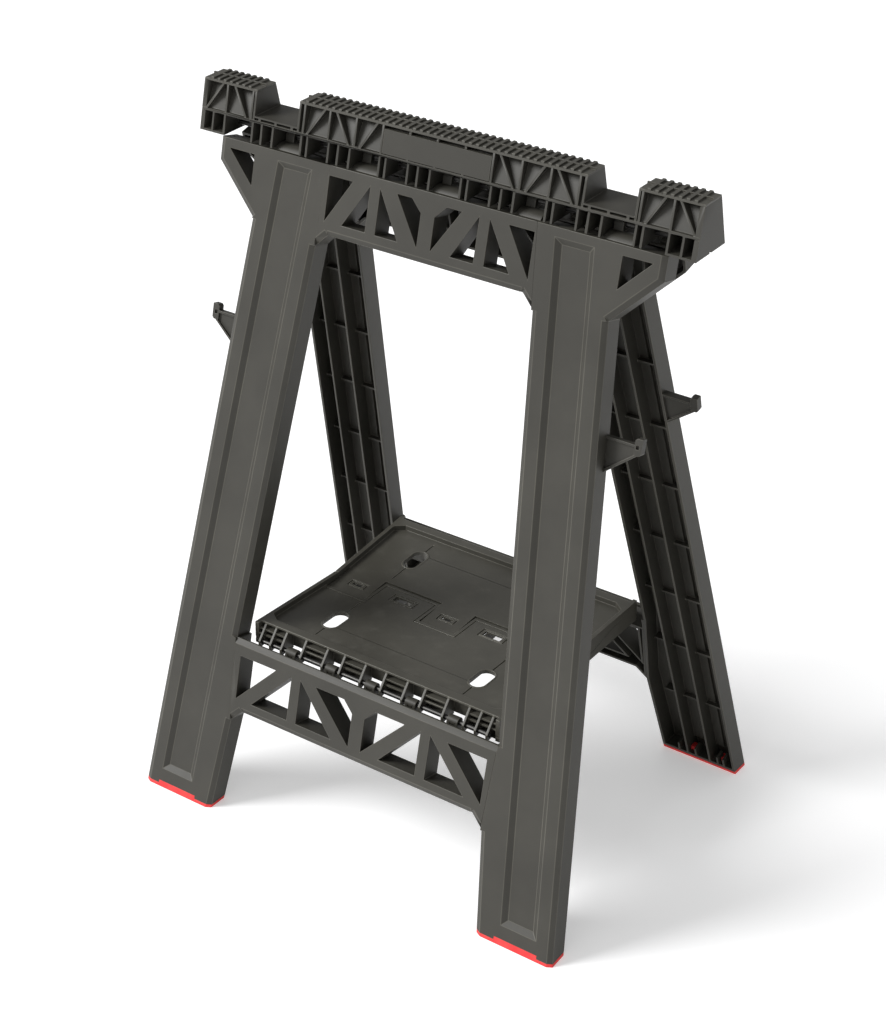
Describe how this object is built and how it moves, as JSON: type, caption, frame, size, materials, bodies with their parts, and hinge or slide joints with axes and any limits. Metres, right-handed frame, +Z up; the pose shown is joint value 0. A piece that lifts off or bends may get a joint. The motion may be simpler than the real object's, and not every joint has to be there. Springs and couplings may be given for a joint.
{
  "type": "folding sawhorse",
  "caption": "Folding plastic sawhorse with notched ribbed top beam, hinged leg frames with trussed crossbars, fold-up tool tray, side hooks and rubber feet.",
  "frame": {"origin": "on the floor, midway between the four feet", "axes": "X along the top beam, Y from the front frame to the rear frame, Z up"},
  "size_m": [0.565, 0.4036, 0.75],
  "materials": {
    "frame_plastic": "fine moulded grain, dark grey",
    "beam_plastic": "fine moulded grain, dark grey",
    "deck_plastic": "ridged, dark grey",
    "badge_plastic": "satin, dark grey",
    "hook_plastic": "fine moulded grain, dark grey",
    "tray_plastic": "satin, dark grey",
    "foot_rubber": "matt, red",
    "rod_steel": "drawn steel wire"
  },
  "bodies": {
    "top_beam": {"beam_body": "beam_plastic", "deck_left": "deck_plastic", "deck_centre": "deck_plastic", "deck_right": "deck_plastic", "badge_front": "badge_plastic", "badge_rear": "badge_plastic", "hinge_rod": "rod_steel", "rod_cap_left": "rod_steel", "rod_cap_right": "rod_steel"},
    "front_frame": {"front_left_leg": "frame_plastic", "front_right_leg": "frame_plastic", "front_head": "frame_plastic", "front_crossbar": "frame_plastic", "front_left_hook": "hook_plastic", "front_right_hook": "hook_plastic", "front_left_foot": "foot_rubber", "front_right_foot": "foot_rubber"},
    "tray_front_half": {"tray_front": "tray_plastic", "tray_rod_front": "rod_steel", "fold_rod": "rod_steel"},
    "tray_rear_half": {"tray_rear": "tray_plastic", "tray_rod_rear": "rod_steel"},
    "rear_frame": {"rear_left_leg": "frame_plastic", "rear_right_leg": "frame_plastic", "rear_head": "frame_plastic", "rear_crossbar": "frame_plastic", "rear_left_hook": "hook_plastic", "rear_right_hook": "hook_plastic", "rear_left_foot": "foot_rubber", "rear_right_foot": "foot_rubber"}
  },
  "joints": [
    {"name": "front_frame_fold", "type": "hinge", "parent": "top_beam", "child": "front_frame", "pos_m": [0, 0, 0.704], "axis": [1, 0, 0], "range_deg": [0, 14.07]},
    {"name": "front_tray_hinge", "type": "hinge", "parent": "front_frame", "child": "tray_front_half", "pos_m": [0, -0.13449, 0.19413], "axis": [1, 0, 0], "range_deg": [0, 78.03]},
    {"name": "tray_fold", "type": "hinge", "parent": "tray_front_half", "child": "tray_rear_half", "pos_m": [0, 0, 0.18293], "axis": [1, 0, 0], "range_deg": [-184.2, 0]},
    {"name": "rear_tray_hinge", "type": "hinge", "parent": "tray_rear_half", "child": "rear_frame", "pos_m": [0, 0.13449, 0.19413], "axis": [1, 0, 0], "range_deg": [0, 78.03]}
  ],
  "couplings": [
    {"joint": "front_tray_hinge", "follows": "front_frame_fold", "ratio": 5.5388},
    {"joint": "tray_fold", "follows": "front_frame_fold", "ratio": -13.078},
    {"joint": "rear_tray_hinge", "follows": "front_frame_fold", "ratio": 5.5388}
  ]
}
